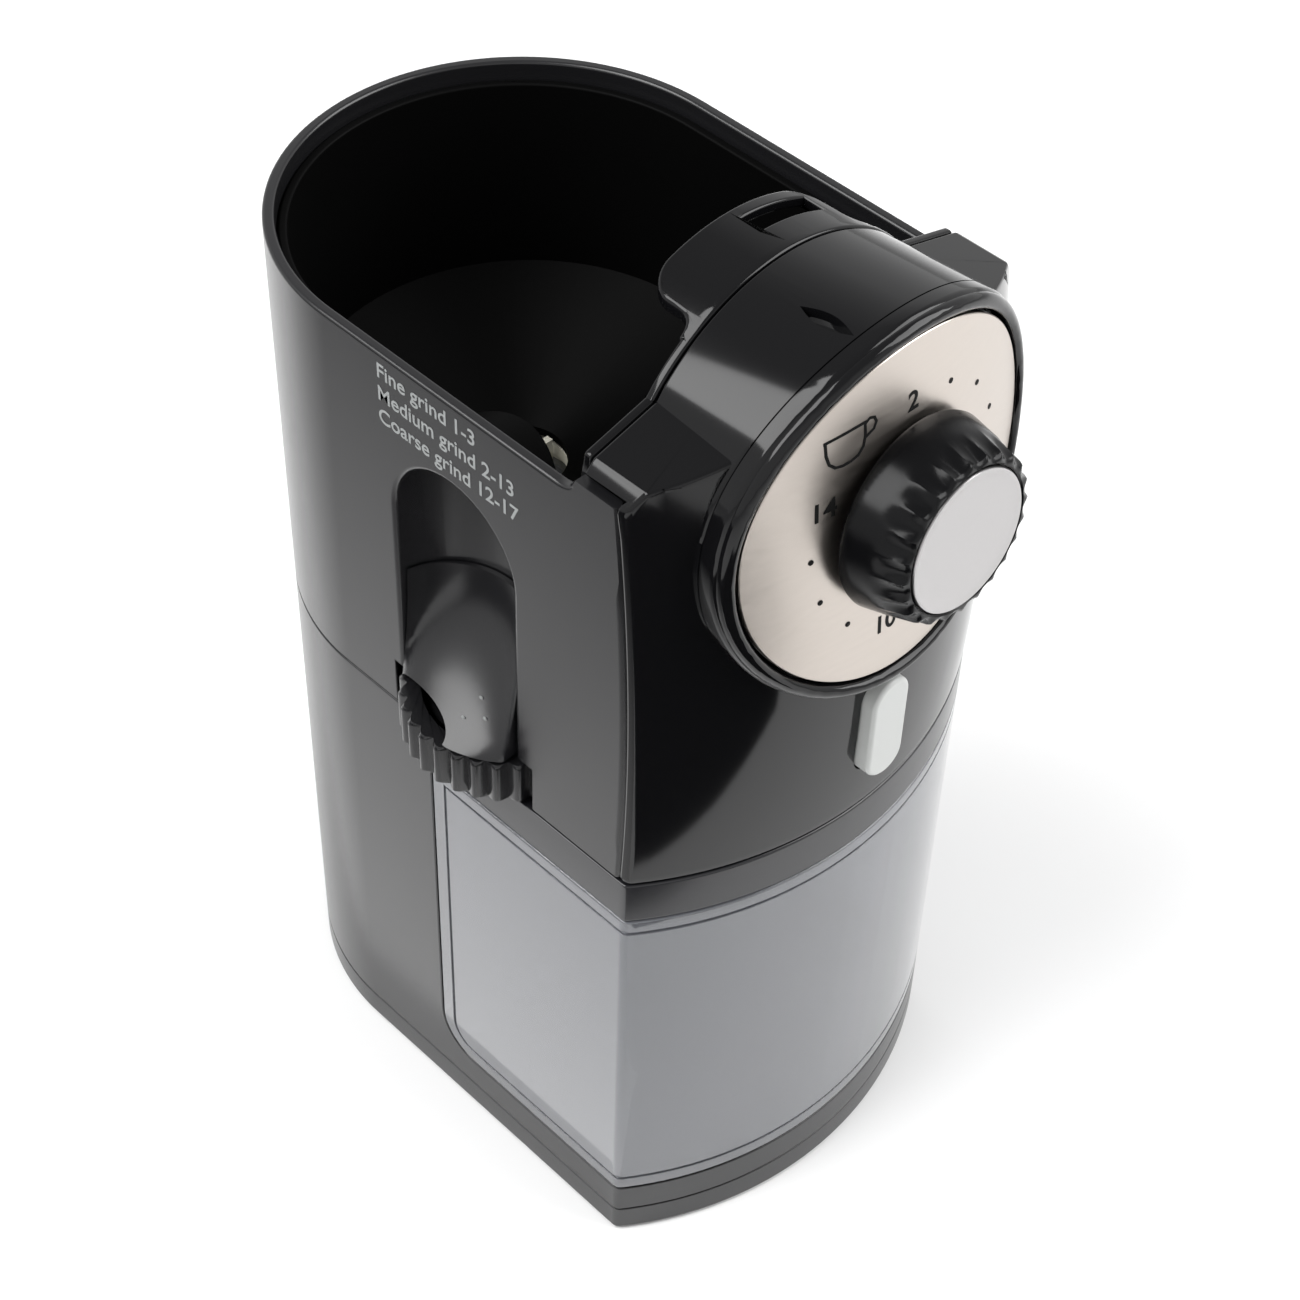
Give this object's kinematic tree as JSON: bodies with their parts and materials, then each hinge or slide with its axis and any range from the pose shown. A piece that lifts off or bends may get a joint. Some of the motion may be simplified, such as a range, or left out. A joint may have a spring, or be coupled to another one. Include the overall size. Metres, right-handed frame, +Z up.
{
  "type": "burr coffee grinder",
  "caption": "D-shaped countertop burr coffee grinder with an open bean hopper, tilted quantity dial, side thumb wheel and clear slide-out grounds container.",
  "frame": {"origin": "on the floor under the middle of the bounding box", "axes": "+X to the right seen from the front, +Y to the back, +Z up; the dial and container face -Y"},
  "size_m": [0.1062, 0.1659, 0.2357],
  "materials": {
    "satin_black": "satin, slightly glossy moulded plastic",
    "gloss_black": "high gloss moulded plastic",
    "hopper_black": "gloss moulded plastic",
    "brushed_steel": "brushed left to right",
    "satin_silver": "satin silver",
    "button_grey": "satin light grey",
    "clear_plastic": "clear, slightly smoked plastic",
    "rubber": "matte",
    "gear_nylon": "unfilled nylon",
    "machined_steel": "turned",
    "motor_steel": "zinc plated",
    "brass": "turned",
    "board_green": "solder mask",
    "switch_black": "matte"
  },
  "bodies": {
    "housing": {"floor_plate": "satin_black", "foot_1": "rubber", "foot_2": "rubber", "foot_3": "rubber", "foot_4": "rubber", "base_screw_1": "machined_steel", "base_screw_2": "machined_steel", "base_screw_3": "machined_steel", "base_screw_4": "machined_steel", "lower_housing": "satin_black", "cord_gland": "rubber", "upper_housing": "satin_black", "hopper": "hopper_black", "hopper_hood": "gloss_black", "front_panel": "gloss_black", "dial_bezel": "gloss_black", "dial_plate": "brushed_steel", "potentiometer": "switch_black", "start_switch": "switch_black", "control_board": "board_green", "lid_switch": "switch_black", "wheel_pin": "machined_steel", "thumb_scoop": "satin_black", "grinding_chamber": "gear_nylon", "grounds_chute": "switch_black", "motor_can": "motor_steel", "motor_end_cap": "switch_black", "motor_magnets": "motor_steel", "motor_screw_1": "machined_steel", "motor_screw_2": "machined_steel", "motor_mount": "motor_steel", "idler_pin": "machined_steel", "gearbox_plate": "motor_steel", "top_plate": "motor_steel", "lower_bearing": "brass", "upper_bearing": "brass"},
    "ground_container": {"container": "clear_plastic", "container_lid": "satin_black"},
    "burr_bell": {"adjusting_bell": "gear_nylon", "upper_burr": "machined_steel"},
    "thumb_wheel": {"grind_wheel": "satin_black"},
    "rotor": {"motor_rotor": "motor_steel", "motor_shaft": "machined_steel", "motor_pinion": "brass"},
    "idler": {"idler_gear": "gear_nylon"},
    "burr_drive": {"drive_gear": "gear_nylon", "spindle": "machined_steel", "burr_carrier": "gear_nylon", "lower_burr": "machined_steel", "feed_auger": "gear_nylon"},
    "dial_knob": {"knob": "gloss_black", "knob_cap": "satin_silver", "knob_shaft": "machined_steel"},
    "start_key": {"start_button": "button_grey"},
    "lid_plunger": {"lid_switch_plunger": "button_grey"}
  },
  "joints": [
    {"name": "container_slide", "type": "slide", "parent": "housing", "child": "ground_container", "axis": [0, -1, 0], "range_m": [0, 0.075]},
    {"name": "grind_adjust", "type": "hinge", "parent": "housing", "child": "burr_bell", "pos_m": [0.00463, 0.03147, 0.13], "axis": [0, 0, 1], "range_deg": [-41.74, 41.74]},
    {"name": "wheel_turn", "type": "hinge", "parent": "housing", "child": "thumb_wheel", "pos_m": [-0.03112, -0.00517, 0.124], "axis": [0, 0, 1], "range_deg": [-60.1, 60.1]},
    {"name": "motor_spin", "type": "hinge", "parent": "housing", "child": "rotor", "pos_m": [0.00635, 0.0429, 0.06], "axis": [0, 0, 1], "continuous": true},
    {"name": "idler_spin", "type": "hinge", "parent": "housing", "child": "idler", "pos_m": [0.02712, 0.03983, 0.1], "axis": [0, 0, 1], "continuous": true},
    {"name": "burr_spin", "type": "hinge", "parent": "housing", "child": "burr_drive", "pos_m": [0.00463, 0.03147, 0.11], "axis": [0, 0, 1], "continuous": true},
    {"name": "dial_turn", "type": "hinge", "parent": "housing", "child": "dial_knob", "pos_m": [0.00463, -0.06843, 0.1964], "axis": [0, 0.9971, -0.0767], "range_deg": [0, 300]},
    {"name": "start_press", "type": "slide", "parent": "housing", "child": "start_key", "axis": [0, 1, 0], "range_m": [0, 0.002], "stiffness_N_per_m": 500, "springref_m": -0.002},
    {"name": "lid_switch_press", "type": "slide", "parent": "housing", "child": "lid_plunger", "axis": [0, 0, -1], "range_m": [0, 0.002], "stiffness_N_per_m": 300, "springref_m": -0.002}
  ],
  "couplings": [
    {"joint": "wheel_turn", "follows": "grind_adjust", "ratio": -1.4375},
    {"joint": "idler_spin", "follows": "motor_spin", "ratio": -0.33333},
    {"joint": "burr_spin", "follows": "motor_spin", "ratio": 0.11111}
  ]
}
